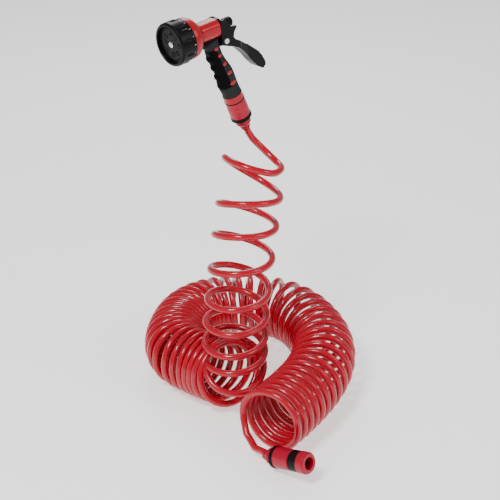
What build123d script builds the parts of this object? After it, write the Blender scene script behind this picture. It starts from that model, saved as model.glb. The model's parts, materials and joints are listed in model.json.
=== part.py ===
"""Spray gun on a coiled hose, with quick connectors and a tap adaptor. Millimetres, +Z up.

The origin is the middle of the hand grip. The gun is drawn level, its barrel along -X, and
every gun piece is then dipped about Y by BARREL_DIP when it is written out.
"""

from math import cos, pi, radians, sin, tan
import os

from build123d import *

# ---------------------------------------------------------------- driving dimensions
BARREL_DIP = 8.0  # barrel's nose below level
GRIP_LEAN = 16.6  # grip from square to the barrel

BARREL_Z = 79.0  # barrel axis above the origin
BARREL_WIDTH = 30.0
BARREL_HEIGHT = 27.0
BARREL_REAR = 8.0  # distances forward of the origin along the barrel
BARREL_FRONT = 46.0
BELL_RADIUS = 31.0
BELL_FRONT = 65.5
BELL_WALL = 3.2
BORE_RADIUS = 8.2
OUTLET_RADIUS = 4.5

DIAL_RADIUS = 32.5
DIAL_OPENING = 27.6
DIAL_BACK = 72.4
DIAL_FRONT = 93.0
DIAL_NOTCHES = 10
FACE_RADIUS = 27.4
FACE_BACK = 84.6
FACE_FRONT = 88.0
PATTERNS = 8
PATTERN_RADIUS = 15.5  # pitch circle of the pattern openings
INSERT_RADIUS = 4.2
RIM_SLOTS = 48
SPINDLE_RADIUS = 4.0
SCREW_HEAD_RADIUS = 4.6

PIVOT_Z = 58.0
PIVOT_RADIUS = 2.5
CHEEK_INNER = 10.7  # lever's two cheeks
CHEEK_OUTER = 14.5
CAP_HALF_WIDTH = 10.2
LEVER_HALF_WIDTH = 9.0
NOSE_RADIUS = 3.0
NOSE_X = 5.6

STEM_RADIUS = 2.5
STEM_TAIL = 22.0
PLUG_REAR = 36.0
PLUG_FRONT = 39.8
SEAT_BACK = 40.0
SEAT_FRONT = 43.0
SPRING_RADIUS = 5.2
SPRING_WIRE = 0.6
SPRING_TURNS = 7
KNOB_RADIUS = 7.5
KNOB_FRONT = 9.0
KNOB_REAR = 23.0
KNOB_RIBS = 12

GRIP_WALL = 3.2
PAD_DEPTH = 1.6
COVER_END = 34.0  # along the grip's axis, below the origin
COLLAR_END = 45.0
COLLAR_RADIUS = 15.6
GRIP_BORE = 4.6
WINDOW_GAP = 0.1

CONNECTOR_START = 45.8  # face of the hose connector along the grip's axis
CONNECTOR_LENGTH = 57.0
SLEEVE_RADIUS = 16.1
SLEEVE_LENGTH = 29.0
RING_RADIUS = 16.8
RING_LENGTH = 7.4
SLEEVE_BORE = 14.1
LIP_BORE = 12.4
CORE_RADIUS = 12.35
FLANGE_RADIUS = 13.25
SOCKET_RADIUS = 8.7
SEAL_BORE = 6.9
NUT_RADIUS = 12.0
NUT_START = 37.4
NUT_END = 48.0
NUT_RIBS = 20
SLEEVE_WIRE = 0.45

NIPPLE_ROOT = 6.9
NIPPLE_FLANGE = 8.4
NIPPLE_NOSE = 6.3
NIPPLE_BORE = 3.4

HOSE_RADIUS = 5.5
HOSE_BORE = 4.0
SPIGOT_RADIUS = HOSE_BORE - 0.05
CLAMP_RADIUS = HOSE_RADIUS + 1.6  # collet's fingers round the hose
COLLET_RADIUS = HOSE_RADIUS + 2.6
COLLET_LIP = HOSE_RADIUS + 1.1
POCKET_RADIUS = CLAMP_RADIUS + 0.1
NUT_MOUTH = CLAMP_RADIUS + 0.05
THREAD_RADIUS = CLAMP_RADIUS + 2.5
NUT_THREAD = THREAD_RADIUS + 0.1
COIL_RADIUS = 53.0

ADAPTOR_BAND = 15.9
ADAPTOR_BAND_END = 16.6
ADAPTOR_RING = 16.4
ADAPTOR_LENGTH = 30.0
TAP_BORE = 9.3  # minor radius of a half-inch pipe thread
TAP_DEPTH = 18.5
WASHER_SEAT = 10.0
WASHER_HOLE = 5.0
WASHER_THICKNESS = 2.6

RUNNING_FIT = 0.05  # radial, shafts that turn or slide in their own holes
BODY_GAP = 0.3  # between pieces that move apart

# the hose's route: corners of its straight runs
COIL_ROUTE = [
    (34.0, -29.0, -148.0),
    (-5.0, -51.0, -242.0),
    (-32.0, -70.0, -310.0),
    (-72.0, -104.0, -453.0),
    (-97.0, 37.0, -453.0),
    (26.0, 123.0, -453.0),
    (154.0, 28.0, -453.0),
    (116.0, -122.0, -453.0),
    (4.0, -206.0, -453.0),
    (-117.0, -232.0, -453.0),
]
TAP_END = (-139.2, -249.7, -491.0)  # collet of the floor connector
TAP_AXIS = Vector(0.113, -0.955, 0.273).normalized()
LEAD_SIDE = Vector(0.751, -0.660, 0)  # the side of the coil where the lead comes in
HOSE_SEAT = 38.6  # hose's end inside a connector, from the connector's face


# ---------------------------------------------------------------- frames
GUN_POSE = Rotation(0, -BARREL_DIP, 0)
LEAN = radians(GRIP_LEAN)
GRIP_DOWN = Vector(sin(LEAN), 0, -cos(LEAN))
GRIP_BACK = Vector(cos(LEAN), 0, sin(LEAN))

# profile planes: local x is the radius, local y runs along the axis
BARREL_PROFILE = Plane(origin=(0, 0, BARREL_Z), x_dir=(0, 0, 1), z_dir=(0, -1, 0))
BARREL_AXIS = Axis((0, 0, BARREL_Z), (-1, 0, 0))
GRIP_PROFILE = Plane(origin=(0, 0, 0), x_dir=GRIP_BACK, z_dir=(0, 1, 0))
GRIP_AXIS = Axis((0, 0, 0), GRIP_DOWN)


def barrel_section(forward):
    """A plane square to the barrel, local x to the right of the gun, local y up."""
    return Plane(origin=(-forward, 0, BARREL_Z), x_dir=(0, -1, 0), z_dir=(-1, 0, 0))


def grip_section(down):
    """A plane square to the grip, local x to the back."""
    return Plane(origin=GRIP_DOWN * down, x_dir=GRIP_BACK, z_dir=GRIP_DOWN)


def along(origin, direction, across):
    """Profile plane and axis for turned pieces: local x radius, local y along the direction."""
    side = (across - direction * across.dot(direction)).normalized()
    return Plane(origin=origin, x_dir=side, z_dir=side.cross(direction)), Axis(origin, direction)


def turned(points, plane, axis):
    """A turned piece from a closed radius-length outline."""
    with BuildPart() as piece:
        with BuildSketch(plane):
            with BuildLine():
                Polyline(*points, close=True)
            make_face()
        revolve(axis=axis)
    return piece.part


def tube(outer, inner, start, end, plane, axis):
    """A plain turned tube."""
    return turned([(inner, start), (outer, start), (outer, end), (inner, end)], plane, axis)


def coil_spring(plane, start, end, radius, wire, turns):
    """A round-wire spring along the plane's local y, from start to end."""
    foot = plane.from_local_coords((0, start + wire, 0))
    rise = end - start - 2 * wire
    with BuildPart() as spring:
        with BuildLine():
            path = Helix(rise / turns, rise, radius, center=foot, direction=plane.y_dir)
        with BuildSketch(Plane(origin=path @ 0, z_dir=path % 0)):
            Circle(wire)
        sweep(path=path, is_frenet=True)
    return spring.part


# ---------------------------------------------------------------- gun: shell and grip
# grip sections: distance along the grip, shift back, half depth, half width
GRIP_SECTIONS = [
    (-66.0, -1.0, 14.6, 11.6),
    (-52.0, -2.2, 12.8, 11.0),
    (-36.0, -3.2, 12.6, 11.2),
    (-22.0, -1.0, 12.9, 12.2),
    (-6.0, 0.6, 14.6, 13.2),
    (10.0, -0.6, 15.8, 14.0),
    (24.0, -0.3, 15.1, 14.4),
    (COVER_END, 0.0, 15.4, 15.0),
]
# windows: distance along the grip, shift back, half size along and across
WINDOWS = [
    (-53.0, -2.0, 2.9, 2.4),
    (-40.0, -0.5, 3.1, 2.6),
    (-24.0, 1.4, 3.4, 2.9),
    (-7.0, 2.4, 3.7, 3.1),
    (10.5, 1.0, 4.0, 3.4),
]
PAD_TOP = -54.0
PAD_END = 15.0
PAD_BACK = -2.5
FINGER_GROOVES = (-47.0, -30.0, -13.0, 4.0)
GROOVE_RADIUS = 13.0
GROOVE_DEPTH = 1.5


def grip_loft(shrink):
    """The grip's outline, each section drawn in by the given amount."""
    with BuildPart() as body:
        for down, shift, depth, width in GRIP_SECTIONS:
            with BuildSketch(grip_section(down)):
                with Locations((shift, 0)):
                    Ellipse(depth - shrink, width - shrink)
        loft()
    return body.part


def window_studs(grow, reach):
    """Oval studs through both sides of the grip at the windows."""
    with BuildPart() as studs:
        for down, shift, half_long, half_wide in WINDOWS:
            centre = GRIP_DOWN * down + GRIP_BACK * shift
            with BuildSketch(Plane(origin=centre, x_dir=GRIP_DOWN, z_dir=(0, 1, 0))):
                Ellipse(half_long + grow, half_wide + grow)
            extrude(amount=reach, both=True)
    return studs.part


def grip_block(top, end, front, back, half_width=40.0):
    """A block set in the grip's frame."""
    with BuildPart() as block:
        with BuildSketch(grip_section(top)):
            with Locations(((front + back) / 2, 0)):
                Rectangle(back - front, 2 * half_width)
        extrude(amount=end - top)
    return block.part


def finger_cutters():
    """Cylinders across the grip's front that make the finger grooves."""
    with BuildPart() as cutters:
        for down in FINGER_GROOVES:
            front = -15.0 if down < -20 else -16.4
            centre = GRIP_DOWN * down + GRIP_BACK * (front - GROOVE_RADIUS + GROOVE_DEPTH)
            with BuildSketch(Plane(origin=centre, x_dir=GRIP_BACK, z_dir=(0, 1, 0))):
                Circle(GROOVE_RADIUS)
            extrude(amount=30, both=True)
    return cutters.part


def rear_clearance():
    """Room behind the barrel for the rear cap and the lever's cheeks."""
    with BuildPart() as room:
        with BuildSketch(Plane.XZ.offset(-40)):
            with Locations((30 - BARREL_REAR, 90)):
                Rectangle(60, 80.6)
        extrude(amount=80)
    return room.part


def barrel_and_bell():
    """The red shell: rounded barrel flaring into the bell."""
    with BuildPart() as shell:
        with BuildSketch(barrel_section(BARREL_REAR)):
            RectangleRounded(BARREL_WIDTH, BARREL_HEIGHT, 10.5)
        extrude(amount=BARREL_FRONT - BARREL_REAR)
        with BuildSketch(BARREL_PROFILE):
            with BuildLine():
                Polyline((0, 42), (13.0, 34), (13.4, 37))
                flare = Spline((13.4, 37), (20.5, 45), (27.4, 52), (BELL_RADIUS, 61))
                Polyline(flare @ 1, (BELL_RADIUS, BELL_FRONT), (0, BELL_FRONT), (0, 42))
            make_face()
        revolve(axis=BARREL_AXIS)
    return shell.part


outer_grip = grip_loft(0)
inner_grip = grip_loft(GRIP_WALL)
barrel_solid = barrel_and_bell()

with BuildPart() as gun_core:
    add(barrel_solid)
    add(inner_grip)
    add(window_studs(-WINDOW_GAP, 9.6))
    add(tube(COLLAR_RADIUS, 0, COVER_END, COLLAR_END, GRIP_PROFILE, GRIP_AXIS))
    add(tube(BORE_RADIUS, 0, 0, SEAT_FRONT, BARREL_PROFILE, BARREL_AXIS), mode=Mode.SUBTRACT)
    add(tube(OUTLET_RADIUS, 0, 40, 55, BARREL_PROFILE, BARREL_AXIS), mode=Mode.SUBTRACT)
    chamber = [(0, 50), (19, 50), (BELL_RADIUS - BELL_WALL, 60)]
    chamber += [(BELL_RADIUS - BELL_WALL, 70), (0, 70)]
    add(turned(chamber, BARREL_PROFILE, BARREL_AXIS), mode=Mode.SUBTRACT)
    add(tube(GRIP_BORE, 0, -70, 50, GRIP_PROFILE, GRIP_AXIS), mode=Mode.SUBTRACT)
    add(tube(NIPPLE_ROOT, 0, 36, 50, GRIP_PROFILE, GRIP_AXIS), mode=Mode.SUBTRACT)
    add(rear_clearance(), mode=Mode.SUBTRACT)

pad_region = grip_block(PAD_TOP, PAD_END, -30, PAD_BACK)

with BuildPart() as grip_cover:
    add(outer_grip)
    add(inner_grip, mode=Mode.SUBTRACT)
    add(barrel_solid, mode=Mode.SUBTRACT)
    add(window_studs(0, 30), mode=Mode.SUBTRACT)
    add(rear_clearance(), mode=Mode.SUBTRACT)
    add(pad_region & (outer_grip - grip_loft(PAD_DEPTH)), mode=Mode.SUBTRACT)

with BuildPart() as finger_pad:
    add(outer_grip & pad_region)
    add(grip_loft(PAD_DEPTH), mode=Mode.SUBTRACT)
    add(window_studs(0.4, 30), mode=Mode.SUBTRACT)
    add(finger_cutters(), mode=Mode.SUBTRACT)

# ---------------------------------------------------------------- gun: rear cap and pivot
with BuildPart() as rear_cap:
    with BuildSketch(barrel_section(1.0)):
        RectangleRounded(2 * CAP_HALF_WIDTH, BARREL_HEIGHT - 2, 8)
    extrude(amount=BARREL_REAR - 1.0)
    with BuildSketch(Plane.XZ.offset(-CAP_HALF_WIDTH)):
        with BuildLine():
            Polyline((-BARREL_REAR, 51.5), (2, 51.5), (2, 66), (-1, 70), (-BARREL_REAR, 70), close=True)
        make_face()
        with Locations((0, PIVOT_Z)):
            Circle(6.5)
    extrude(amount=2 * CAP_HALF_WIDTH)
    add(tube(6.6, 0, -2, 2, BARREL_PROFILE, BARREL_AXIS))
    add(tube(BORE_RADIUS, 0, 8, 12, BARREL_PROFILE, BARREL_AXIS))
    stem_bore = tube(STEM_RADIUS + RUNNING_FIT, 0, -5, 15, BARREL_PROFILE, BARREL_AXIS)
    add(stem_bore, mode=Mode.SUBTRACT)
    add(tube(4.4, 0, 3, 6, BARREL_PROFILE, BARREL_AXIS), mode=Mode.SUBTRACT)
    with BuildSketch(Plane.XZ.offset(-40)):
        with Locations((0, PIVOT_Z)):
            Circle(PIVOT_RADIUS)
    extrude(amount=80, mode=Mode.SUBTRACT)

gland_seal = tube(4.4, STEM_RADIUS + RUNNING_FIT, 3, 6, BARREL_PROFILE, BARREL_AXIS)

with BuildPart() as pivot_pin:
    with BuildSketch(Plane.XZ.offset(-CHEEK_OUTER - 2.0)):
        with Locations((0, PIVOT_Z)):
            Circle(PIVOT_RADIUS)
    extrude(amount=2 * CHEEK_OUTER + 2.0)
    with BuildSketch(Plane.XZ.offset(CHEEK_OUTER + BODY_GAP)):
        with Locations((0, PIVOT_Z)):
            Circle(4.4)
    extrude(amount=1.8, taper=12)
    with BuildSketch(Plane.XZ.offset(CHEEK_OUTER)):
        with Locations((0, PIVOT_Z)):
            Circle(PIVOT_RADIUS)
    extrude(amount=1.0)

with BuildPart() as pin_washer:
    with BuildSketch(Plane.XZ.offset(-CHEEK_OUTER - BODY_GAP)):
        with Locations((0, PIVOT_Z)):
            Circle(4.4)
            Circle(PIVOT_RADIUS, mode=Mode.SUBTRACT)
    extrude(amount=-1.2)

# ---------------------------------------------------------------- gun: nozzle side, fixed
bezel_ring = tube(BELL_RADIUS - 0.2, 27.6, BELL_FRONT, DIAL_BACK - 0.4, BARREL_PROFILE, BARREL_AXIS)

with BuildPart() as port_plate:
    add(tube(27.5, 0, 66, 69, BARREL_PROFILE, BARREL_AXIS))
    add(tube(SPINDLE_RADIUS, 0, 68, FACE_FRONT + 0.4, BARREL_PROFILE, BARREL_AXIS))
    with BuildSketch(barrel_section(60)):
        with Locations((0, PATTERN_RADIUS)):
            Circle(3.6)
    extrude(amount=20, mode=Mode.SUBTRACT)
    add(tube(1.8, 0, 76, 95, BARREL_PROFILE, BARREL_AXIS), mode=Mode.SUBTRACT)

with BuildPart() as port_seal:
    with BuildSketch(barrel_section(69)):
        with Locations((0, PATTERN_RADIUS)):
            Circle(6.2)
            Circle(3.6, mode=Mode.SUBTRACT)
    extrude(amount=4.6)

screw_outline = [(0, 78), (1.8, 78), (1.8, FACE_FRONT + 0.4), (SCREW_HEAD_RADIUS, FACE_FRONT + 0.4)]
screw_outline += [(SCREW_HEAD_RADIUS, FACE_FRONT + 1.8), (3.2, FACE_FRONT + 2.6), (0, FACE_FRONT + 2.6)]
with BuildPart() as dial_screw:
    add(turned(screw_outline, BARREL_PROFILE, BARREL_AXIS))
    with BuildSketch(barrel_section(FACE_FRONT + 1.4)):
        Rectangle(5.2, 1.1)
        Rectangle(1.1, 5.2)
    extrude(amount=5, mode=Mode.SUBTRACT)

valve_seat = tube(BORE_RADIUS, OUTLET_RADIUS, SEAT_BACK, SEAT_FRONT, BARREL_PROFILE, BARREL_AXIS)

# ---------------------------------------------------------------- spray head
with BuildPart() as dial_ring:
    ring = [(DIAL_OPENING, DIAL_BACK), (DIAL_RADIUS - 1.0, DIAL_BACK), (DIAL_RADIUS, DIAL_BACK + 1.2)]
    ring += [(DIAL_RADIUS, DIAL_FRONT - 3.0), (DIAL_RADIUS - 1.0, DIAL_FRONT - 0.8)]
    ring += [(DIAL_RADIUS - 2.6, DIAL_FRONT), (DIAL_OPENING + 0.6, DIAL_FRONT), (DIAL_OPENING, DIAL_FRONT - 0.8)]
    add(turned(ring, BARREL_PROFILE, BARREL_AXIS))
    with BuildSketch(barrel_section(DIAL_BACK - 1)):
        with PolarLocations(DIAL_RADIUS + 4.6, DIAL_NOTCHES, start_angle=18):
            Circle(6.4)
    extrude(amount=12.5, mode=Mode.SUBTRACT)

PATTERN_ANGLES = [90 + index * 360 / PATTERNS for index in range(PATTERNS)]
INSERT_SLOTS = (0, 2, 4, 6)  # the openings that take an insert


def pattern_spot(index):
    """Where a pattern opening sits on its pitch circle."""
    angle = radians(PATTERN_ANGLES[index])
    return (PATTERN_RADIUS * cos(angle), PATTERN_RADIUS * sin(angle))


with BuildPart() as face_plate:
    add(tube(FACE_RADIUS, SPINDLE_RADIUS + RUNNING_FIT, FACE_BACK, FACE_FRONT, BARREL_PROFILE, BARREL_AXIS))
    with BuildSketch(barrel_section(FACE_BACK - 1)):
        for index in INSERT_SLOTS:
            with Locations(pattern_spot(index)):
                Circle(INSERT_RADIUS)
    extrude(amount=8, mode=Mode.SUBTRACT)
    with BuildSketch(barrel_section(FACE_BACK - 1)):
        with Locations(pattern_spot(1), pattern_spot(5)):
            Circle(3.8)
            Circle(2.2, mode=Mode.SUBTRACT)
            Rectangle(1.4, 9, mode=Mode.SUBTRACT)
        with Locations(pattern_spot(3), pattern_spot(7)):
            with GridLocations(2.6, 2.6, 3, 3):
                Circle(0.8)
    extrude(amount=8, mode=Mode.SUBTRACT)
    with BuildSketch(barrel_section(FACE_FRONT - 1.2)):
        with PolarLocations(24.3, RIM_SLOTS):
            Rectangle(3.6, 1.3)
    extrude(amount=4, mode=Mode.SUBTRACT)

with BuildPart() as selector_disc:
    add(tube(27.0, SPINDLE_RADIUS + RUNNING_FIT, 74.0, FACE_BACK, BARREL_PROFILE, BARREL_AXIS))
    with BuildSketch(barrel_section(70)):
        with PolarLocations(PATTERN_RADIUS, PATTERNS, start_angle=90):
            Circle(3.4)
    extrude(amount=20, mode=Mode.SUBTRACT)


def insert_blank(index):
    """A pattern insert before its own openings are cut."""
    with BuildPart() as blank:
        with BuildSketch(barrel_section(FACE_BACK)):
            with Locations(pattern_spot(index)):
                Circle(INSERT_RADIUS)
        extrude(amount=FACE_FRONT - FACE_BACK + 0.8)
    return blank.part


def insert_face(index):
    """Sketch plane on the back of an insert, its origin on the opening's centre."""
    side, rise = pattern_spot(index)
    return barrel_section(FACE_BACK - 1).shift_origin(
        barrel_section(FACE_BACK - 1).from_local_coords((side, rise, 0))
    )


with BuildPart() as jet_insert:
    add(insert_blank(0))
    with BuildSketch(insert_face(0)):
        Circle(1.9)
    extrude(amount=9, mode=Mode.SUBTRACT)

with BuildPart() as mist_insert:
    add(insert_blank(2))
    with BuildSketch(insert_face(2)):
        with PolarLocations(2.4, 6):
            Circle(0.5)
        Circle(0.5)
    extrude(amount=9, mode=Mode.SUBTRACT)

with BuildPart() as cone_insert:
    add(insert_blank(4))
    with BuildSketch(insert_face(4)):
        Circle(3.0)
        Circle(1.7, mode=Mode.SUBTRACT)
        Rectangle(9, 1.0, mode=Mode.SUBTRACT)
    extrude(amount=9, mode=Mode.SUBTRACT)

with BuildPart() as flat_insert:
    add(insert_blank(6))
    with BuildSketch(insert_face(6)):
        Rectangle(1.5, 6.0)
    extrude(amount=9, mode=Mode.SUBTRACT)

# ---------------------------------------------------------------- trigger
LEVER_OUTLINE = [
    (-7.0, 53.0),
    (-7.0, 86.0),
    (-4.5, 90.5),
    (1.5, 90.5),
    (6.5, 86.5),
    (10.5, 78.5),
    (15.0, 75.0),
    (21.5, 75.6),
    (22.6, 73.0),
    (17.0, 66.5),
    (15.2, 59.0),
    (18.5, 55.0),
    (27.0, 49.6),
    (38.6, 40.6),
    (52.0, 30.4),
    (62.6, 20.9),
    (69.9, 11.1),
    (75.0, 0.3),
    (75.6, -6.0),
    (69.6, -10.6),
    (60.0, -4.0),
    (50.5, 7.0),
    (41.5, 20.4),
    (32.3, 31.6),
    (21.3, 40.9),
    (12.1, 45.7),
    (3.5, 48.6),
]
WEB_START = 12.5  # nothing between the cheeks ahead of this


def lever_plate(near, far, clip_x=None):
    """The lever's outline between two widths, trimmed to a half-space where asked."""
    with BuildPart() as plate:
        with BuildSketch(Plane.XZ.offset(-far)):
            with BuildLine():
                Polyline(*LEVER_OUTLINE, close=True)
            make_face()
            if clip_x is not None:
                with Locations(((clip_x - 60) / 2 + 1, 60)):
                    Rectangle(clip_x + 58, 200, mode=Mode.SUBTRACT)
        extrude(amount=far - near)
    return plate.part


def handle_trim():
    """Outside of the handle where it narrows behind the cheeks."""
    with BuildPart() as trim:
        for side in (-1, 1):
            with BuildSketch(Plane.XY.offset(-30)):
                with BuildLine():
                    Polyline(
                        (24, side * 40), (24, side * (CHEEK_OUTER + 1)), (30, side * (CHEEK_OUTER - 2)),
                        (44, side * LEVER_HALF_WIDTH), (90, side * LEVER_HALF_WIDTH), (90, side * 40),
                        close=True,
                    )
                make_face()
            extrude(amount=100)
    return trim.part


with BuildPart() as trigger_lever:
    add(lever_plate(CHEEK_INNER, CHEEK_OUTER))
    add(lever_plate(-CHEEK_OUTER, -CHEEK_INNER))
    add(lever_plate(-CHEEK_INNER, CHEEK_INNER, clip_x=24.0))
    add(handle_trim(), mode=Mode.SUBTRACT)
    for side in (-1, 1):
        with BuildSketch(Plane.XZ.offset(-side * 3.4)):
            with Locations((NOSE_X, BARREL_Z)):
                Circle(NOSE_RADIUS)
        extrude(amount=-side * (CHEEK_INNER - 3.4))
    with BuildSketch(Plane.XZ.offset(-40)):
        with Locations((0, PIVOT_Z)):
            Circle(PIVOT_RADIUS + RUNNING_FIT)
    extrude(amount=80, mode=Mode.SUBTRACT)

# ---------------------------------------------------------------- valve stem and flow knob
stem_outline = [(0, -STEM_TAIL), (STEM_RADIUS, -STEM_TAIL), (STEM_RADIUS, 44.5), (1.6, 46), (0, 46)]
valve_stem = turned(stem_outline, BARREL_PROFILE, BARREL_AXIS)
valve_plug = tube(6.6, STEM_RADIUS, PLUG_REAR, PLUG_FRONT, BARREL_PROFILE, BARREL_AXIS)
stem_washer = tube(6.8, STEM_RADIUS, PLUG_REAR - 1.5, PLUG_REAR, BARREL_PROFILE, BARREL_AXIS)
valve_spring = coil_spring(
    BARREL_PROFILE, 12.0, PLUG_REAR - 1.5, SPRING_RADIUS, SPRING_WIRE, SPRING_TURNS
)

with BuildPart() as flow_knob:
    knob = [(0, -KNOB_REAR), (KNOB_RADIUS - 1.4, -KNOB_REAR), (KNOB_RADIUS, -KNOB_REAR + 1.6)]
    knob += [(KNOB_RADIUS, -KNOB_FRONT - 0.8), (KNOB_RADIUS - 0.8, -KNOB_FRONT), (0, -KNOB_FRONT)]
    add(turned(knob, BARREL_PROFILE, BARREL_AXIS))
    stem_hole = [(0, -STEM_TAIL - BODY_GAP), (STEM_RADIUS + RUNNING_FIT, -STEM_TAIL - BODY_GAP)]
    stem_hole += [(STEM_RADIUS + RUNNING_FIT, 0), (0, 0)]
    add(turned(stem_hole, BARREL_PROFILE, BARREL_AXIS), mode=Mode.SUBTRACT)
    with BuildSketch(barrel_section(-KNOB_REAR - 1)):
        with PolarLocations(KNOB_RADIUS + 0.5, KNOB_RIBS):
            Circle(0.9)
    extrude(amount=12, mode=Mode.SUBTRACT)


# ---------------------------------------------------------------- connectors
UPPER_PLANE, UPPER_AXIS = along(GRIP_DOWN * CONNECTOR_START, GRIP_DOWN, GRIP_BACK)
TAP_FACE = Vector(*TAP_END) + TAP_AXIS * CONNECTOR_LENGTH
LOWER_PLANE, LOWER_AXIS = along(TAP_FACE, TAP_AXIS * -1, Vector(0, 0, 1))


def nipple(plane, axis, root):
    """Plug-in nipple outline from its root to its nose, with an O-ring groove."""
    outline = [(NIPPLE_BORE, root), (NIPPLE_ROOT, root), (NIPPLE_ROOT, 8), (NIPPLE_FLANGE, 8)]
    outline += [(NIPPLE_FLANGE, 11), (NIPPLE_NOSE, 11.4), (NIPPLE_NOSE, 15.5), (5.0, 15.5), (5.0, 18.3)]
    outline += [(NIPPLE_NOSE, 18.3), (NIPPLE_NOSE, 21.5), (5.6, 22.6), (NIPPLE_BORE, 22.6)]
    return turned(outline, plane, axis)


def nipple_seal(plane, axis):
    """O-ring in the nipple's groove, running in the socket."""
    outer = SEAL_BORE - RUNNING_FIT
    outline = [(5.0, 15.6), (outer - 0.5, 15.6), (outer, 16.3), (outer, 17.5), (outer - 0.5, 18.2), (5.0, 18.2)]
    return turned(outline, plane, axis)


def connector_core(plane, axis):
    """Socket, shoulder, thread and hose spigot of a connector."""
    outline = [(SOCKET_RADIUS, 0.8), (CORE_RADIUS, 0.8), (CORE_RADIUS, 16), (13.75, 16), (13.75, 18)]
    outline += [(CORE_RADIUS, 18.4), (CORE_RADIUS, 30), (FLANGE_RADIUS, 30), (FLANGE_RADIUS, NUT_START)]
    outline += [(THREAD_RADIUS, NUT_START), (THREAD_RADIUS, 45), (POCKET_RADIUS, 45), (POCKET_RADIUS, 38.5)]
    outline += [(SPIGOT_RADIUS, 38.5), (SPIGOT_RADIUS, 52)]
    outline += [(2.9, 52), (2.9, 24), (SEAL_BORE, 24), (SEAL_BORE, 12), (SOCKET_RADIUS, 11.6)]
    return turned(outline, plane, axis)


def claw_ring(plane, axis):
    """Snap ring with four claws behind the nipple's flange."""
    with BuildPart() as ring:
        add(tube(SOCKET_RADIUS, 7.2, 3.4, 7.6, plane, axis))
        section = Plane(origin=plane.from_local_coords((0, 3.0, 0)), x_dir=plane.x_dir, z_dir=plane.y_dir)
        with BuildSketch(section):
            with PolarLocations(8.0, 4, start_angle=45):
                Rectangle(3, 2.2)
        extrude(amount=3.0, mode=Mode.SUBTRACT)
    return ring.part


def hose_nut(plane, axis):
    """Ribbed nut over the core's thread and the collet."""
    with BuildPart() as nut:
        outline = [(NUT_THREAD, NUT_START), (NUT_RADIUS, NUT_START), (NUT_RADIUS, NUT_END - 3.4)]
        outline += [(NUT_RADIUS - 2.4, NUT_END), (NUT_MOUTH, NUT_END), (NUT_MOUTH, 45.3), (NUT_THREAD, 45.3)]
        add(turned(outline, plane, axis))
        section = Plane(origin=plane.from_local_coords((0, NUT_START, 0)), x_dir=plane.x_dir, z_dir=plane.y_dir)
        with BuildSketch(section.offset(1.6)):
            with PolarLocations(NUT_RADIUS + 0.4, NUT_RIBS):
                Rectangle(1.6, 1.3)
        extrude(amount=12, mode=Mode.SUBTRACT)
    return nut.part


def hose_collet(plane, axis):
    """Split collet that grips the hose where it leaves the nut."""
    with BuildPart() as collet:
        outline = [(HOSE_RADIUS, 39.2), (CLAMP_RADIUS, 39.2), (CLAMP_RADIUS, NUT_END + 0.6)]
        outline += [(COLLET_RADIUS, NUT_END + 1.2)]
        outline += [(COLLET_RADIUS, NUT_END + 4.4), (COLLET_LIP, CONNECTOR_LENGTH), (HOSE_RADIUS, CONNECTOR_LENGTH)]
        add(turned(outline, plane, axis))
        section = Plane(origin=plane.from_local_coords((0, NUT_END + 0.8, 0)), x_dir=plane.x_dir, z_dir=plane.y_dir)
        with BuildSketch(section):
            with PolarLocations(POCKET_RADIUS, 8):
                Rectangle(4.2, 1.1)
        extrude(amount=12, mode=Mode.SUBTRACT)
    return collet.part


def sliding_sleeve(plane, axis):
    """Release sleeve with an inner lip that runs on the core."""
    outline = [(LIP_BORE, 0), (14.9, 0), (15.7, 0.8), (SLEEVE_RADIUS, 14), (SLEEVE_RADIUS - 0.2, SLEEVE_LENGTH)]
    outline += [(SLEEVE_BORE, SLEEVE_LENGTH), (SLEEVE_BORE, 3), (LIP_BORE, 3)]
    return turned(outline, plane, axis)


def sleeve_ring(plane, axis):
    """Soft ring on the sleeve's hose end, guided by the core's flange."""
    inner = FLANGE_RADIUS + RUNNING_FIT
    end = SLEEVE_LENGTH + RING_LENGTH
    outline = [(inner, SLEEVE_LENGTH), (RING_RADIUS - 0.6, SLEEVE_LENGTH), (RING_RADIUS, SLEEVE_LENGTH + 0.8)]
    outline += [(RING_RADIUS, end - 2.0), (RING_RADIUS - 2.0, end), (inner, end)]
    return turned(outline, plane, axis)


def sleeve_spring(plane):
    """Spring between the sleeve's lip and the core's shoulder."""
    return coil_spring(plane, 3.1, 15.9, 13.2, SLEEVE_WIRE, 4)


def connector(plane, axis):
    """All the pieces of one hose connector, by short name."""
    return {
        "core": connector_core(plane, axis),
        "claw_ring": claw_ring(plane, axis),
        "nut": hose_nut(plane, axis),
        "collet": hose_collet(plane, axis),
        "sleeve": sliding_sleeve(plane, axis),
        "sleeve_ring": sleeve_ring(plane, axis),
        "sleeve_spring": sleeve_spring(plane),
    }


upper_connector = connector(UPPER_PLANE, UPPER_AXIS)
tail_nipple = nipple(UPPER_PLANE, UPPER_AXIS, 36 - CONNECTOR_START)
nipple_o_ring = nipple_seal(UPPER_PLANE, UPPER_AXIS)
lower_connector = connector(LOWER_PLANE, LOWER_AXIS)

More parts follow.
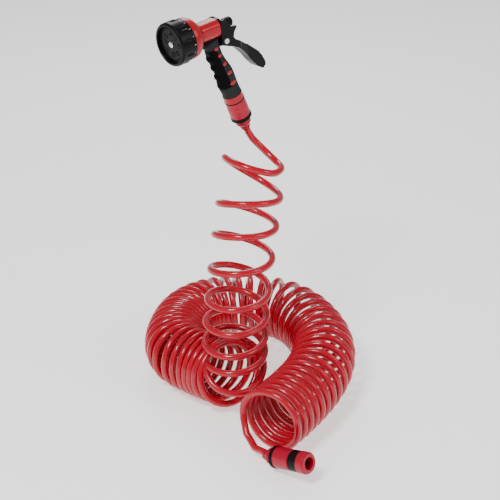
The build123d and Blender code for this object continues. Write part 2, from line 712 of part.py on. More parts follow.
# ---------------------------------------------------------------- tap adaptor
WASHER_BACK = TAP_DEPTH - ADAPTOR_LENGTH
WASHER_FRONT = WASHER_BACK + WASHER_THICKNESS
with BuildPart() as adaptor_body:
    add(nipple(LOWER_PLANE, LOWER_AXIS, -2.0))
    band = [(NIPPLE_BORE, -0.8), (ADAPTOR_BAND - 0.6, -0.8), (ADAPTOR_BAND, -1.6)]
    band += [(ADAPTOR_BAND, -ADAPTOR_BAND_END), (TAP_BORE, -ADAPTOR_BAND_END)]
    band += [(TAP_BORE, WASHER_BACK), (WASHER_SEAT, WASHER_BACK)]
    band += [(WASHER_SEAT, WASHER_FRONT), (NIPPLE_BORE, WASHER_FRONT)]
    add(turned(band, LOWER_PLANE, LOWER_AXIS))
adaptor_rim = [(TAP_BORE, -ADAPTOR_BAND_END), (ADAPTOR_RING, -ADAPTOR_BAND_END)]
adaptor_rim += [(ADAPTOR_RING, 3.0 - ADAPTOR_LENGTH), (ADAPTOR_RING - 2.6, -ADAPTOR_LENGTH)]
adaptor_rim += [(TAP_BORE, -ADAPTOR_LENGTH)]
adaptor_ring = turned(adaptor_rim, LOWER_PLANE, LOWER_AXIS)
adaptor_washer = tube(WASHER_SEAT, WASHER_HOLE, WASHER_BACK, WASHER_FRONT, LOWER_PLANE, LOWER_AXIS)
adaptor_o_ring = nipple_seal(LOWER_PLANE, LOWER_AXIS)


# ---------------------------------------------------------------- hose
def bend_radii(points):
    """Arc radius at each inner corner: 0.45 of the shorter run over tan of half the turn."""
    radii = []
    for before, corner, after in zip(points, points[1:], points[2:]):
        run_in = Vector(*corner) - Vector(*before)
        run_out = Vector(*after) - Vector(*corner)
        half_turn = radians(run_in.get_angle(run_out)) / 2
        radii.append(0.45 * min(run_in.length, run_out.length) / tan(half_turn))
    return radii


def hose_run(points, radii, outer, inner=0.0):
    """A tube along straight runs joined by tangent arcs."""
    with BuildPart() as run:
        with BuildLine():
            path = FilletPolyline(*points, radius=radii)
        with BuildSketch(Plane(origin=path @ 0, z_dir=path % 0)):
            Circle(outer)
            if inner:
                Circle(inner, mode=Mode.SUBTRACT)
        sweep(path=path)
    section = pi * (outer**2 - inner**2)
    print("bend radii:", [round(radius, 1) for radius in radii])
    print("volume over section times length:", round(run.part.volume / (section * path.length), 4))
    return run.part


def as_point(vector):
    """A vector's coordinates as a plain tuple."""
    return (vector.X, vector.Y, vector.Z)


# the coil: one route for both lengths, split on the straight below its first long bend
COIL_BENDS = bend_radii(COIL_ROUTE)
COIL_SPLIT = as_point(Vector(*COIL_ROUTE[2]) * 0.65 + Vector(*COIL_ROUTE[3]) * 0.35)
hose_coil_hanging = hose_run(COIL_ROUTE[:3] + [COIL_SPLIT], COIL_BENDS[:2], COIL_RADIUS)
hose_coil_floor = hose_run([COIL_SPLIT] + COIL_ROUTE[3:], COIL_BENDS[2:], COIL_RADIUS)

# the lead: from the spigot in the gun's connector to the edge of the coil's upper end
GRIP_RUN = GRIP_DOWN.rotate(Axis.Y, -BARREL_DIP)  # the grip's direction once the gun has dipped
COIL_DOWN = (Vector(*COIL_ROUTE[1]) - Vector(*COIL_ROUTE[0])).normalized()
COIL_SIDE = (LEAD_SIDE - COIL_DOWN * LEAD_SIDE.dot(COIL_DOWN)).normalized()
LEAD_ROUTE = [
    as_point(GRIP_RUN * (CONNECTOR_START + HOSE_SEAT)),
    as_point(GRIP_RUN * (CONNECTOR_START + CONNECTOR_LENGTH + 17.0)),
    as_point(Vector(*COIL_ROUTE[0]) + COIL_SIDE * 47.0 - COIL_DOWN * 5.2),
]
hose_lead = hose_run(LEAD_ROUTE, bend_radii(LEAD_ROUTE), HOSE_RADIUS, HOSE_BORE)

# the tail: from the edge of the coil's open end to the spigot in the floor connector
COIL_END = Vector(*COIL_ROUTE[-1])
COIL_RUN = (COIL_END - Vector(*COIL_ROUTE[-2])).normalized()
COIL_LEFT = Vector(COIL_RUN.Y, -COIL_RUN.X, 0)
TAIL_ROUTE = [
    as_point(COIL_END + COIL_LEFT * 41.0 + COIL_RUN * 5.4 + Vector(0, 0, -16.0)),
    as_point(Vector(*TAP_END) - TAP_AXIS * 30.0),
    as_point(Vector(*TAP_END) + TAP_AXIS * (CONNECTOR_LENGTH - HOSE_SEAT)),
]
hose_tail = hose_run(TAIL_ROUTE, bend_radii(TAIL_ROUTE), HOSE_RADIUS, HOSE_BORE)


# ---------------------------------------------------------------- write the pieces
os.makedirs("parts", exist_ok=True)

GUN_PIECES = {
    "gun_core": gun_core.part,
    "grip_cover": grip_cover.part,
    "finger_pad": finger_pad.part,
    "rear_cap": rear_cap.part,
    "gland_seal": gland_seal,
    "pivot_pin": pivot_pin.part,
    "pin_washer": pin_washer.part,
    "bezel_ring": bezel_ring,
    "port_plate": port_plate.part,
    "port_seal": port_seal.part,
    "dial_screw": dial_screw.part,
    "valve_seat": valve_seat,
    "tail_nipple": tail_nipple,
    "nipple_o_ring": nipple_o_ring,
    "dial_ring": dial_ring.part,
    "face_plate": face_plate.part,
    "selector_disc": selector_disc.part,
    "jet_insert": jet_insert.part,
    "mist_insert": mist_insert.part,
    "cone_insert": cone_insert.part,
    "flat_insert": flat_insert.part,
    "trigger_lever": trigger_lever.part,
    "valve_stem": valve_stem,
    "valve_plug": valve_plug,
    "stem_washer": stem_washer,
    "valve_spring": valve_spring,
    "flow_knob": flow_knob.part,
}
GUN_PIECES.update({"upper_" + name: piece for name, piece in upper_connector.items()})

FLOOR_PIECES = {
    "adaptor_body": adaptor_body.part,
    "adaptor_ring": adaptor_ring,
    "adaptor_washer": adaptor_washer,
    "adaptor_o_ring": adaptor_o_ring,
    "hose_lead": hose_lead,
    "hose_coil_hanging": hose_coil_hanging,
    "hose_coil_floor": hose_coil_floor,
    "hose_tail": hose_tail,
}
FLOOR_PIECES.update({"lower_" + name: piece for name, piece in lower_connector.items()})

for name, piece in GUN_PIECES.items():
    placed = GUN_POSE * piece
    placed.label = name
    export_step(placed, f"parts/{name}.step")

for name, piece in FLOOR_PIECES.items():
    piece.label = name
    export_step(piece, f"parts/{name}.step")
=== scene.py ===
"""Looks for a trigger spray gun on a coiled hose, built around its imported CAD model.

Metres, in the CAD model's own frame: +Z up, -X towards the nozzle.
"""

import json
import logging
from bisect import bisect_right
from dataclasses import dataclass, field
from enum import Enum
from math import atan2, cos, radians, sin, tau
from typing import Any, Iterable, Optional, Sequence, Union

import bmesh
import bpy
from mathutils import Matrix, Vector


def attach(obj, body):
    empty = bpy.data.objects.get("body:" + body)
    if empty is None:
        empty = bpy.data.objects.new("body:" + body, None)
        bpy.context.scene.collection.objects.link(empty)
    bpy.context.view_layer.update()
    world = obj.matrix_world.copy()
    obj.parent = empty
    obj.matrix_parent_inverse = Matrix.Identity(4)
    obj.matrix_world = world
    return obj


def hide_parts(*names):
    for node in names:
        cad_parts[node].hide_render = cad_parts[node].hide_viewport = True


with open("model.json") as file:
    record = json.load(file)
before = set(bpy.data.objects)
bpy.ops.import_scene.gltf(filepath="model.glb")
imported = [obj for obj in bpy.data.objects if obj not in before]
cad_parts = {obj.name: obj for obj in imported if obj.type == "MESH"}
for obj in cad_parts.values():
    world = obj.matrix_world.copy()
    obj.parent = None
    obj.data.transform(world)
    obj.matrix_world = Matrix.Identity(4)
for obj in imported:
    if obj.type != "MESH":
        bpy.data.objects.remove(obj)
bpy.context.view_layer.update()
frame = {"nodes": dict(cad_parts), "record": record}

log = logging.getLogger("spray_gun")
MM = 0.001
Number = Union[int, float]
Triple = tuple[float, float, float]

# the gun dips at the nose, and these are its grip's directions once it has
GUN_TILT = Matrix.Rotation(radians(-8.0), 4, "Y")
GRIP_DOWN = Vector((0.41628, 0.0, -0.90924))
GRIP_BACK = Vector((0.90924, 0.0, 0.41628))
GRIP_FRAME = Matrix((GRIP_BACK, (0, 1, 0), GRIP_DOWN)).transposed().to_4x4()


# ---------------------------------------------------------------- shader maths
class Shade:
    """A socket's value in a material, on which the usual operators add Math nodes."""

    def __init__(self, graph: "Graph", socket: bpy.types.NodeSocket) -> None:
        """Wraps a socket of a graph."""
        self.graph = graph
        self.socket = socket

    def _math(self, operation: str, *values: Union["Shade", Number], clamp: bool = False) -> "Shade":
        """Adds one Math node.

        Args:
            operation: the Math node's operation.
            values: its inputs, in order.
            clamp: whether the result is held between 0 and 1.

        Returns:
            The node's result.
        """
        settings = {"operation": operation, "use_clamp": clamp}
        return self.graph.node("ShaderNodeMath", settings, dict(enumerate(values)))

    def __add__(self, other: Union["Shade", Number]) -> "Shade":
        """self + other."""
        return self._math("ADD", self, other)

    def __radd__(self, other: Number) -> "Shade":
        """other + self."""
        return self._math("ADD", other, self)

    def __sub__(self, other: Union["Shade", Number]) -> "Shade":
        """self - other."""
        return self._math("SUBTRACT", self, other)

    def __rsub__(self, other: Number) -> "Shade":
        """other - self."""
        return self._math("SUBTRACT", other, self)

    def __mul__(self, other: Union["Shade", Number]) -> "Shade":
        """self * other."""
        return self._math("MULTIPLY", self, other)

    def __rmul__(self, other: Number) -> "Shade":
        """other * self."""
        return self._math("MULTIPLY", other, self)

    def clamped(self) -> "Shade":
        """The value held between 0 and 1."""
        return self._math("ADD", self, 0.0, clamp=True)


class Graph:
    """A material's node tree, with one method that adds any node."""

    def __init__(self, name: str) -> None:
        """Starts an empty material of that name."""
        self.material = bpy.data.materials.new(name)
        self.material.use_nodes = True
        self.tree = self.material.node_tree
        self.tree.nodes.clear()

    def node(
        self,
        kind: str,
        settings: Optional[dict[str, Any]] = None,
        inputs: Optional[dict[Union[str, int], Any]] = None,
        output: Union[str, int] = 0,
    ) -> Shade:
        """Adds a node.

        Args:
            kind: the node's type.
            settings: its properties, set before its sockets.
            inputs: values or links, by socket name or number.
            output: which output to return.

        Returns:
            The chosen output.
        """
        made = self.tree.nodes.new(kind)
        for name, value in (settings or {}).items():
            setattr(made, name, value)
        for key, value in (inputs or {}).items():
            if isinstance(value, Shade):
                self.tree.links.new(value.socket, made.inputs[key])
            else:
                made.inputs[key].default_value = value
        return Shade(self, made.outputs[output])

    def surface(self, shader: Shade) -> None:
        """Links a shader to the material's output."""
        made = self.tree.nodes.new("ShaderNodeOutputMaterial")
        self.tree.links.new(shader.socket, made.inputs["Surface"])

    def noise(self, scale: float, detail: float = 3.0) -> Shade:
        """Noise on the piece's own Object coordinates.

        Args:
            scale: features per metre.
            detail: octaves.

        Returns:
            The noise, about 0.5 on average.
        """
        place = self.node("ShaderNodeTexCoord", output="Object")
        inputs = {"Vector": place, "Scale": scale, "Detail": detail}
        return self.node("ShaderNodeTexNoise", {"noise_dimensions": "3D"}, inputs)

    def mix(self, share: Shade, low: Sequence[float], high: Sequence[float]) -> Shade:
        """Two colours mixed.

        Args:
            share: how much of the second colour.
            low: the colour at 0.
            high: the colour at 1.

        Returns:
            The mixed colour.
        """
        inputs = {0: share, 6: (*low, 1.0), 7: (*high, 1.0)}
        return self.node("ShaderNodeMix", {"data_type": "RGBA"}, inputs, output=2)


# ---------------------------------------------------------------- finishes
class Grain(Enum):
    """How a surface's fine relief is laid, in features per metre."""

    SMOOTH = 90.0
    MOULDED = 900.0
    TEXTURED = 2600.0


@dataclass(frozen=True)
class Finish:
    """A procedural finish for one kind of surface."""

    name: str
    colour: tuple[float, float, float]
    roughness: float
    metallic: float = 0.0
    coat: float = 0.0
    grain: Grain = Grain.SMOOTH
    relief: float = 0.02
    relief_height: float = 0.0002
    variation: float = 0.10
    patch_scale: float = 28.0
    gleam: float = 0.5
    unevenness: float = 0.12
    coat_roughness: float = 0.06

    def make(self) -> bpy.types.Material:
        """Builds the material.

        Returns:
            The new material.
        """
        graph = Graph(self.name)
        patches = graph.noise(self.patch_scale)
        grain = graph.noise(self.grain.value, 4.0)
        low = tuple(channel * (1 - self.variation) for channel in self.colour)
        high = tuple(min(1.0, channel * (1 + self.variation)) for channel in self.colour)
        roughness = (patches * self.unevenness + (self.roughness - self.unevenness / 2)).clamped()
        bump = {"Strength": self.relief, "Distance": self.relief_height, "Height": grain}
        shader = {
            "Base Color": graph.mix(patches, low, high),
            "Metallic": self.metallic,
            "Roughness": roughness,
            "Specular IOR Level": self.gleam,
            "Coat Weight": self.coat,
            "Coat Roughness": self.coat_roughness,
            "Normal": graph.node("ShaderNodeBump", inputs=bump),
        }
        graph.surface(graph.node("ShaderNodeBsdfPrincipled", inputs=shader))
        return graph.material


# what several plastics share
MOULDED = {"grain": Grain.MOULDED}
SATIN = {"grain": Grain.MOULDED, "relief": 0.08}
TOUCH = {"grain": Grain.MOULDED, "relief": 0.10}
ROUGH = {"grain": Grain.TEXTURED, "relief": 0.45}
FINISHES: dict[str, Finish] = {
    finish.name: finish
    for finish in (
        Finish("red_shell", (0.36, 0.0, 0.008), 0.30, coat=0.10, gleam=0.3, **MOULDED),
        Finish("grip_grey", (0.016, 0.018, 0.020), 0.65, gleam=0.12, **TOUCH),
        Finish("pad_black", (0.004, 0.004, 0.004), 0.85, gleam=0.05, **ROUGH),
        Finish("black_plastic", (0.004, 0.004, 0.005), 0.34, gleam=0.12, **SATIN),
        Finish("black_soft", (0.004, 0.004, 0.004), 0.55, gleam=0.1, **SATIN),
        Finish("seal_rubber", (0.010, 0.010, 0.010), 0.62, gleam=0.25, **MOULDED),
        Finish("screw_chrome", (0.82, 0.82, 0.84), 0.12, metallic=1.0, variation=0.02),
        Finish("pin_steel", (0.66, 0.66, 0.67), 0.28, metallic=1.0, variation=0.04),
        Finish("seat_brass", (0.68, 0.48, 0.20), 0.26, metallic=1.0, variation=0.05),
        Finish("pale_plastic", (0.70, 0.70, 0.66), 0.46, **MOULDED),
        Finish("connector_red", (0.38, 0.0, 0.020), 0.36, coat=0.05, gleam=0.3, **SATIN),
        Finish("hose_red", (0.43, 0.0, 0.014), 0.20, coat=0.12, gleam=0.4, relief=0.03, variation=0.06),
    )
}


class Paintbox:
    """The finishes made so far, by the record's slot names."""

    def __init__(self) -> None:
        """Starts with nothing made."""
        self.made: dict[str, bpy.types.Material] = {}

    def material(self, slot: str) -> bpy.types.Material:
        """The material of a slot, made on first use."""
        if slot not in self.made:
            self.made[slot] = FINISHES[slot].make()
        return self.made[slot]

    def dress_cad(self) -> None:
        """Gives every CAD node its slot's material, on the object and not on its mesh."""
        for row in frame["record"]["subparts"]:
            node = frame["nodes"][row["node"]]
            for material_slot in node.material_slots:
                material_slot.link = "OBJECT"
                material_slot.material = self.material(row["material_slot"])
            log.info("CAD node %s: %s", row["node"], row["material_slot"])


# ---------------------------------------------------------------- curves
def nurbs(name: str, points: Iterable[Vector], radius: float = 0.0, steps: int = 3) -> bpy.types.Object:
    """A curve object of one open NURBS spline.

    Args:
        name: the object's name.
        points: the spline's control points.
        radius: half the tube's thickness, or 0 for a bare line.
        steps: points drawn for each control point.

    Returns:
        The new object, in the scene.
    """
    controls = list(points)
    data = bpy.data.curves.new(name, "CURVE")
    data.dimensions = "3D"
    data.resolution_u = steps
    data.bevel_depth = radius
    data.bevel_resolution = 3
    data.use_fill_caps = radius > 0
    spline = data.splines.new("NURBS")
    spline.points.add(len(controls) - 1)
    for point, place in zip(spline.points, controls):
        point.co = (*place, 1.0)
    spline.order_u = 3
    spline.use_endpoint_u = True
    spline.use_smooth = True
    made = bpy.data.objects.new(name, data)
    bpy.context.scene.collection.objects.link(made)
    return made


def drawn_line(points: Iterable[Vector], steps: int = 24) -> list[Vector]:
    """The points that a NURBS spline passes through.

    Args:
        points: the spline's control points.
        steps: points drawn for each control point.

    Returns:
        The line, in order.
    """
    bare = nurbs("bare_line", points, steps=steps)
    mesh = bpy.data.meshes.new_from_object(bare)
    line = [vertex.co.copy() for vertex in mesh.vertices]
    curve = bare.data
    bpy.data.objects.remove(bare)
    bpy.data.curves.remove(curve)
    bpy.data.meshes.remove(mesh)
    return line


# ---------------------------------------------------------------- hose
@dataclass
class Hose:
    """The coiled hose: a lead from the gun, hanging turns, turns on the floor, and a tail to the tap."""

    diameter: float = 11 * MM
    length: float = 16.2
    coil_diameter: float = 106 * MM
    turns: float = 53.5
    points_per_turn: int = 16
    exit: Vector = field(default_factory=lambda: GRIP_DOWN * 0.1028)
    coil_route: tuple[Triple, ...] = (
        (34, -29, -148),
        (-5, -51, -242),
        (-31, -68, -310),
        (-57, -86, -395),
        (-72, -104, -449),
        (-86, -52, -452),
        (-96, 33, -452),
        (26, 123, -453),
        (154, 28, -453),
        (116, -122, -453),
        (4, -206, -453),
        (-117, -232, -453),
    )
    lead_side: Triple = (0.751, -0.660, 0.0)
    lead_starts: float = 84.4 * MM
    lead_route: tuple[Triple, ...] = (
        (48, 0, -105),
        (60, -3, -120),
        (72, -28, -142),
        (69, -51, -148),
        (57, -69, -146),
    )
    # the lead takes the place of this many points of the first turn
    lead_covers: int = 2
    # the tap connector's end, in millimetres, and which way it points
    tap_end: Triple = (-139.2, -249.7, -491)
    tap_axis: Triple = (0.113, -0.955, 0.273)
    tail_straight: float = 30 * MM
    tail_inside: float = 18.4 * MM
    # where the tail leaves the last turn, from the turn's middle
    leaves_aside: float = 41 * MM
    leaves_below: float = 16 * MM
    # turns before this distance along the coil's middle keep their spacing, and the rest spread to fit
    hanging: float = 0.30
    # the first turn leans up on its far side from the lead by this share of its radius
    first_lean: float = 0.30
    lean_middle: float = 0.5
    lean_reach: float = 0.9
    # each turn leans down on its front side by this share of its radius, by number of turns
    front: Triple = (-0.660, -0.751, 0.0)
    leans: tuple[tuple[float, float], ...] = (
        (0.0, 0.15),
        (1.5, 0.24),
        (2.5, 0.25),
        (3.5, 0.35),
        (4.5, 0.45),
        (5.5, 0.47),
        (6.5, 0.56),
        (7.5, 0.58),
        (8.5, 0.66),
        (9.5, 0.55),
        (11.0, 0.30),
        (13.0, 0.0),
    )
    # how far apart the turns lie, at distances along the coil's middle
    spacing: tuple[tuple[float, float], ...] = (
        (0.000, 0.0400),
        (0.050, 0.0440),
        (0.100, 0.0500),
        (0.150, 0.0540),
        (0.190, 0.0480),
        (0.215, 0.0360),
        (0.260, 0.0310),
        (0.290, 0.0230),
        (0.320, 0.0135),
        (0.550, 0.0125),
        (0.630, 0.0170),
        (0.730, 0.0220),
        (0.980, 0.0220),
        (1.050, 0.0150),
        (1.300, 0.0150),
    )

    @staticmethod
    def read(table: Sequence[tuple[float, float]], place: float) -> float:
        """A table's value at a place, on the straight line between its rows.

        Args:
            table: rows of a place and its value.
            place: where to read it.

        Returns:
            The value, which is the last row's beyond the table.
        """
        for (near, value), (far, next_value) in zip(table, table[1:]):
            if place <= far:
                return value + (next_value - value) * (place - near) / (far - near)
        return table[-1][1]

    def coil_points(self) -> list[Vector]:
        """Control points of the turns, wound round the middle line.

        Returns:
            The points, from the gun's end to the tap's.
        """
        middle = drawn_line(Vector(point) * MM for point in self.coil_route)
        runs = [(after - before) for before, after in zip(middle, middle[1:])]
        runs.append(runs[-1])
        tangents = [run.normalized() for run in runs]
        side = Vector(self.lead_side)
        sides = []
        for tangent in tangents:
            side = (side - tangent * side.dot(tangent)).normalized()
            sides.append(side.copy())
        distance, wound = 0.0, [0.0]
        for before, after in zip(middle, middle[1:]):
            step = (after - before).length
            wound.append(wound[-1] + step / self.read(self.spacing, distance + step / 2))
            distance += step
        total = self.whole_turns(tangents[-1], sides[-1])
        hung = self.turns_at(self.hanging, middle, wound)
        spread = (total - hung) / (wound[-1] - hung)
        log.info("%.2f turns hang, %.2f in all, floor turns spread by %.3f", hung, total, spread)
        wound = [turn if turn <= hung else hung + (turn - hung) * spread for turn in wound]
        # the spline runs inside its control points by this share of the radius
        pulled_in = 0.75 + 0.25 * cos(tau / self.points_per_turn)
        radius = (self.coil_diameter - self.diameter) / 2 / pulled_in
        front = Vector(self.front)
        points = []
        for step in range(int(total * self.points_per_turn) + 1):
            turn = step / self.points_per_turn
            at = min(bisect_right(wound, turn), len(wound) - 1)
            share = (turn - wound[at - 1]) / (wound[at] - wound[at - 1])
            centre = middle[at - 1].lerp(middle[at], share)
            out = sides[at - 1].lerp(sides[at], share).normalized()
            across = tangents[at - 1].cross(out)
            lean = self.first_lean * max(0.0, 1 - abs(turn - self.lean_middle) / self.lean_reach)
            outward = out * cos(turn * tau) + across * sin(turn * tau)
            drop = self.read(self.leans, turn) * outward.dot(front) - lean * (1 - cos(turn * tau))
            points.append(centre + (outward + tangents[at - 1] * drop) * radius)
        return points

    def turns_at(self, wanted: float, middle: Sequence[Vector], wound: Sequence[float]) -> float:
        """Turns wound by a distance along the coil's middle.

        Args:
            wanted: the distance.
            middle: points of the middle line.
            wound: turns wound at each of them.

        Returns:
            The number of turns.
        """
        distance = 0.0
        for before, after, turn in zip(middle, middle[1:], wound):
            if distance >= wanted:
                return turn
            distance += (after - before).length
        return wound[-1]

    def whole_turns(self, tangent: Vector, side: Vector) -> float:
        """Turns that end the coil where the tail leaves it, low on the left.

        Args:
            tangent: the coil's direction at its end.
            side: the direction its turns are counted from there.

        Returns:
            The number of turns nearest the one wanted.
        """
        left = Vector((tangent.y, -tangent.x, 0.0))
        leaves = left * self.leaves_aside - Vector((0, 0, self.leaves_below))
        angle = atan2(leaves.dot(tangent.cross(side)), leaves.dot(side)) / tau
        return round(self.turns - angle) + angle

    def points(self) -> list[Vector]:
        """Every control point of the hose.

        Returns:
            The lead, the coil and the tail, in order.
        """
        tap = Vector(self.tap_end) * MM
        axis = Vector(self.tap_axis).normalized()
        lead = [GRIP_DOWN * self.lead_starts]
        lead.extend(Vector(point) * MM for point in self.lead_route)
        tail = [tap - axis * self.tail_straight, tap + axis * self.tail_inside]
        return lead + self.coil_points()[self.lead_covers :] + tail

    def build(self, paint: Paintbox) -> None:
        """Args:
            paint: the finishes.
        """
        hose = nurbs("coiled_hose", self.points(), self.diameter / 2, steps=2)
        hose.data.materials.append(paint.material("hose_red"))
        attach(hose, "hose_side")
        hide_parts("hose_lead", "hose_coil_hanging", "hose_coil_floor", "hose_tail")


# ---------------------------------------------------------------- small details
SIDES = (-1, 1)


@dataclass(frozen=True)
class Oval:
    """An oval in the grip's side: distance down the grip, shift back, half width and half height."""

    down: float
    back: float
    wide: float
    high: float


@dataclass(frozen=True)
class Ridge:
    """A ridge between finger grooves: distance down the grip, the pad's front, how far it stands out."""

    down: float
    front: float
    proud: float


class Details:
    """Small moulded details that ride on the gun, its trigger and its connector, and a dark ring of
    painted shade at the collar.
    """

    ovals = (
        Oval(-53.0, -2.0, 4.0, 2.5),
        Oval(-40.0, -0.5, 4.2, 2.6),
        Oval(-24.0, 1.4, 4.7, 2.8),
        Oval(-7.0, 2.4, 4.9, 2.9),
        Oval(10.5, 1.0, 5.8, 3.2),
    )
    ridges = (
        Ridge(-38.5, -15.6, 1.6),
        Ridge(-21.5, -14.0, 2.3),
        Ridge(-4.5, -14.3, 2.4),
        Ridge(12.0, -15.9, 1.3),
    )
    # distance down the grip, shift back, half depth and half width
    sections = (
        (-66.0, -1.0, 14.6, 11.6),
        (-52.0, -2.2, 12.8, 11.0),
        (-36.0, -3.2, 12.6, 11.2),
        (-22.0, -1.0, 12.9, 12.2),
        (-6.0, 0.6, 14.6, 13.2),
        (10.0, -0.6, 15.8, 14.0),
        (24.0, -0.3, 15.1, 14.4),
    )
    oval_relief = 0.9
    ridge_root = 5.0
    barrel_height = 79.0
    bezel_radius = 30.8
    bezel_middle = 68.8
    bezel_marks = 16
    connector_start = 45.8
    sleeve_radius = 16.1
    lever_edge = ((46.0, 0.0, 35.2), (66.0, 0.0, 16.8))
    lever_ribs = 9
    lever_half_width = 7.6
    rib_radius = 0.9
    ring_wire = 0.8
    ring_sunk = 0.7
    ridge_half = (9.6, 7.6)
    saddle_half = (14.5, 11.2, 8.0)
    saddle_place = (-62.5, -3.0)
    tick_lengths = (2.8, 1.5)
    tick_section = (0.7, 0.5)
    # the sleeve's marks: distance down the sleeve, shift aside and turn, and the angle they face
    marks = ((9.0, 1.6, 40), (9.0, -1.6, -40), (17.0, 0.0, 0))
    mark_size = (0.8, 4.2, 1.1)
    marks_face = -128

    def __init__(self, paint: Paintbox) -> None:
        """Keeps the finishes."""
        self.paint = paint

    def finish(self, name: str, shape: bmesh.types.BMesh, slot: str, body: str) -> None:
        """Turns a bmesh, built in millimetres in the row frame, into a piece that rides on a body.

        Args:
            name: the piece's name.
            shape: its shape, which is freed.
            slot: the record's material slot.
            body: the CAD body it rides on.
        """
        bmesh.ops.scale(shape, verts=shape.verts, vec=(MM, MM, MM))
        bmesh.ops.recalc_face_normals(shape, faces=shape.faces)
        mesh = bpy.data.meshes.new(name)
        shape.to_mesh(mesh)
        shape.free()
        mesh.shade_smooth()
        mesh.materials.append(self.paint.material(slot))
        piece = bpy.data.objects.new(name, mesh)
        bpy.context.scene.collection.objects.link(piece)
        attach(piece, body)

    def grip_side(self, down: float, back: float) -> float:
        """Half the grip's width where it is level with a point of its middle plane.

        Args:
            down: distance down the grip, in millimetres.
            back: distance behind the grip's axis, in millimetres.

        Returns:
            The distance from the middle plane to the skin.
        """
        columns = ([(row[0], row[column]) for row in self.sections] for column in (1, 2, 3))
        shift, depth, width = (Hose.read(column, down) for column in columns)
        return width * (1 - ((back - shift) / depth) ** 2) ** 0.5

    def grip_ovals(self) -> None:
        """Five red ovals on each side, following the grip's skin."""
        for side in SIDES:
            for number, oval in enumerate(self.ovals, 1):
                shape = bmesh.new()
                bmesh.ops.create_uvsphere(shape, u_segments=32, v_segments=16, radius=1.0)
                for corner in shape.verts:
                    down = oval.down - corner.co.z * oval.high
                    back = oval.back + corner.co.x * oval.wide
                    out = self.grip_side(down, back) + corner.co.y * self.oval_relief
                    corner.co = GRIP_DOWN * down + GRIP_BACK * back + Vector((0, side * out, 0))
                name = f"grip_oval_{'left' if side < 0 else 'right'}_{number}"
                self.finish(name, shape, "red_shell", "gun")

    def pillow(self, size: Sequence[float], down: float, back: float) -> bmesh.types.BMesh:
        """A rounded lump set in the grip's frame.

        Args:
            size: half its size to the back, across and down, in millimetres.
            down: how far down the grip its middle is.
            back: how far behind the grip's axis its middle is.

        Returns:
            The new bmesh.
        """
        shape = bmesh.new()
        bmesh.ops.create_uvsphere(shape, u_segments=48, v_segments=24, radius=1.0)
        bmesh.ops.scale(shape, verts=shape.verts, vec=size)
        bmesh.ops.transform(shape, verts=shape.verts, matrix=GRIP_FRAME)
        bmesh.ops.translate(shape, verts=shape.verts, vec=GRIP_DOWN * down + GRIP_BACK * back)
        return shape

    def pad_ridges(self) -> None:
        """Ridges across the pad's front, between the finger grooves."""
        for number, ridge in enumerate(self.ridges, 1):
            half = (self.ridge_root + ridge.proud, *self.ridge_half)
            lump = self.pillow(half, ridge.down, ridge.front + self.ridge_root)
            self.finish(f"pad_ridge_{number}", lump, "pad_black", "gun")

    def saddle(self) -> None:
        """The overmould's top, where it meets the barrel."""
        self.finish("grip_saddle", self.pillow(self.saddle_half, *self.saddle_place), "grip_grey", "gun")

    def bar(self, size: Sequence[float], turn: Matrix) -> bmesh.types.BMesh:
        """A small bar with rounded edges.

        Args:
            size: its three sides, in millimetres.
            turn: where it goes.

        Returns:
            The new bmesh.
        """
        shape = bmesh.new()
        bmesh.ops.create_cube(shape, size=1.0)
        bmesh.ops.scale(shape, verts=shape.verts, vec=size)
        bmesh.ops.bevel(
            shape,
            geom=shape.edges[:],
            offset=min(size) * 0.3,
            offset_type="OFFSET",
            affect="EDGES",
            segments=2,
            profile=0.5,
            material=-1,
        )
        bmesh.ops.transform(shape, verts=shape.verts, matrix=turn)
        return shape

    def bezel_ticks(self) -> None:
        """Pale marks round the bezel, long and short by turns."""
        for number in range(self.bezel_marks):
            length = self.tick_lengths[number % 2]
            up = Matrix.Translation((-self.bezel_middle, 0, self.bezel_radius))
            around = Matrix.Rotation(tau * number / self.bezel_marks, 4, "X")
            place = GUN_TILT @ Matrix.Translation((0, 0, self.barrel_height)) @ around @ up
            tick = self.bar((length, *self.tick_section), place)
            self.finish(f"bezel_tick_{number + 1}", tick, "pale_plastic", "gun")

    def collar_gap_shade_ring(self) -> None:
        """A dark ring of painted shade, standing in for the shadow in the gap between the grip's collar
        and the connector.
        """
        shape = bmesh.new()
        made = bmesh.ops.create_circle(shape, segments=16, radius=self.ring_wire, cap_ends=False)
        turn = Matrix((GRIP_BACK, GRIP_DOWN, (0, 1, 0))).transposed().to_4x4()
        centre = GRIP_DOWN * (self.connector_start - self.ring_wire / 2)
        start = centre + GRIP_BACK * (self.sleeve_radius - self.ring_sunk)
        bmesh.ops.transform(shape, verts=made["verts"], matrix=turn)
        bmesh.ops.translate(shape, verts=made["verts"], vec=start)
        ring = {"cent": centre, "axis": GRIP_DOWN, "angle": tau, "steps": 72, "use_merge": True}
        bmesh.ops.spin(shape, geom=shape.edges[:], **ring)
        # a black ring of painted shade where the narrow gap between collar and connector lies in shadow
        self.finish("collar_gap_shade_ring", shape, "black_soft", "gun")

    def lever_grips(self) -> None:
        """Fine ribs across the outside of the trigger, near its tip."""
        first, last = (Vector(end) for end in self.lever_edge)
        across = Matrix.Rotation(radians(90), 4, "X")
        for number in range(self.lever_ribs):
            shape = bmesh.new()
            rib = {"radius1": self.rib_radius, "radius2": self.rib_radius}
            length = 2 * self.lever_half_width
            bmesh.ops.create_cone(shape, cap_ends=True, segments=16, depth=length, matrix=across, **rib)
            spot = first.lerp(last, number / (self.lever_ribs - 1))
            bmesh.ops.transform(shape, verts=shape.verts, matrix=GUN_TILT @ Matrix.Translation(spot))
            self.finish(f"lever_rib_{number + 1}", shape, "black_plastic", "trigger")

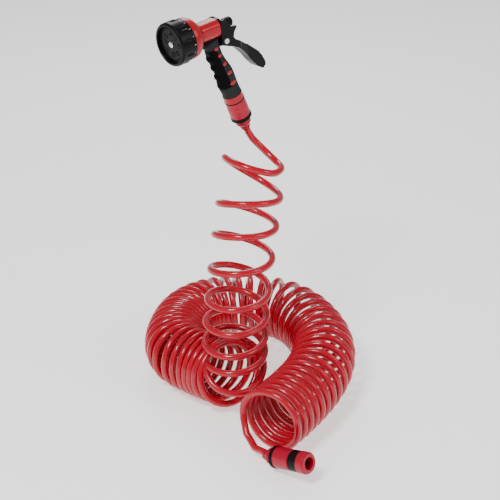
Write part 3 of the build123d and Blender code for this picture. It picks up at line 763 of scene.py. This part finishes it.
    def sleeve_marks(self) -> None:
        """Three small raised marks on the connector's sleeve, an arrow and a bar."""
        around = Matrix.Rotation(radians(self.marks_face), 4, "Z")
        for number, (down, shift, lean) in enumerate(self.marks, 1):
            up = Matrix.Translation((self.sleeve_radius, shift, self.connector_start + down))
            place = GRIP_FRAME @ around @ up @ Matrix.Rotation(radians(lean), 4, "X")
            bar = self.bar(self.mark_size, place)
            self.finish(f"sleeve_mark_{number}", bar, "connector_red", "gun_sleeve")

    def build(self) -> None:
        """Adds every detail."""
        self.grip_ovals()
        self.pad_ridges()
        self.saddle()
        self.bezel_ticks()
        # painted shade: a dark ring in the gap between the collar and the connector
        self.collar_gap_shade_ring()
        self.lever_grips()
        self.sleeve_marks()


# ---------------------------------------------------------------- room
@dataclass
class Studio:
    """A pale floor, soft light and the camera."""

    floor: float = -506 * MM
    floor_size: float = 14.0
    floor_glow: float = 0.75
    sky: float = 0.4
    aim: Triple = (0.0, -0.05, -0.25)
    # each light's name, place, side and strength
    lamps: tuple[tuple[str, Triple, float, float], ...] = (
        ("key_light", (-1.4, -0.5, 1.5), 0.5, 42),
        ("fill_light", (0.7, -1.7, 1.1), 0.8, 12),
        ("back_light", (1.1, 1.4, 1.3), 0.8, 16),
    )
    lens: float = 86.69
    eye: Triple = (-1.1242, -1.3377, 0.5456)
    pitch: float = 64.4
    heading: float = -41.3

    def lay_floor(self) -> None:
        """Makes the floor."""
        shape = bmesh.new()
        bmesh.ops.create_grid(shape, x_segments=1, y_segments=1, size=self.floor_size / 2)
        bmesh.ops.translate(shape, verts=shape.verts, vec=(0, 0, self.floor))
        mesh = bpy.data.meshes.new("floor")
        shape.to_mesh(mesh)
        shape.free()
        floor = bpy.data.objects.new("floor", mesh)
        bpy.context.scene.collection.objects.link(floor)
        graph = Graph("floor_white")
        paper = {"Base Color": (0.95, 0.95, 0.95, 1.0), "Roughness": 0.9}
        paper.update({"Emission Color": (1.0, 1.0, 1.0, 1.0), "Emission Strength": self.floor_glow})
        graph.surface(graph.node("ShaderNodeBsdfPrincipled", inputs=paper))
        mesh.materials.append(graph.material)

    def light(self, name: str, place: Vector, size: float, power: float) -> None:
        """Adds one square soft light that faces the gun and the hose.

        Args:
            name: the light's name.
            place: where it stands.
            size: its side.
            power: its strength in watts.
        """
        data = bpy.data.lights.new(name, "AREA")
        data.size = size
        data.energy = power
        lamp = bpy.data.objects.new(name, data)
        bpy.context.scene.collection.objects.link(lamp)
        lamp.location = place
        lamp.rotation_euler = (Vector(self.aim) - place).to_track_quat("-Z", "Y").to_euler()

    def build(self) -> None:
        """Makes the floor, the lights, the sky and the camera."""
        self.lay_floor()
        for name, place, size, power in self.lamps:
            self.light(name, Vector(place), size, power)
        world = bpy.data.worlds.new("studio")
        bpy.context.scene.world = world
        world.use_nodes = True
        sky = world.node_tree.nodes["Background"]
        sky.inputs["Color"].default_value = (1.0, 1.0, 1.0, 1.0)
        sky.inputs["Strength"].default_value = self.sky
        data = bpy.data.cameras.new("camera")
        data.lens = self.lens
        data.sensor_width = 36.0
        camera = bpy.data.objects.new("camera", data)
        bpy.context.scene.collection.objects.link(camera)
        camera.location = self.eye
        camera.rotation_euler = (radians(self.pitch), 0.0, radians(self.heading))
        bpy.context.scene.camera = camera


def main() -> None:
    """Builds everything in order."""
    logging.basicConfig(level=logging.INFO, format="%(message)s")
    paint = Paintbox()
    paint.dress_cad()
    Hose().build(paint)
    Details(paint).build()
    Studio().build()


if __name__ == "__main__":
    main()
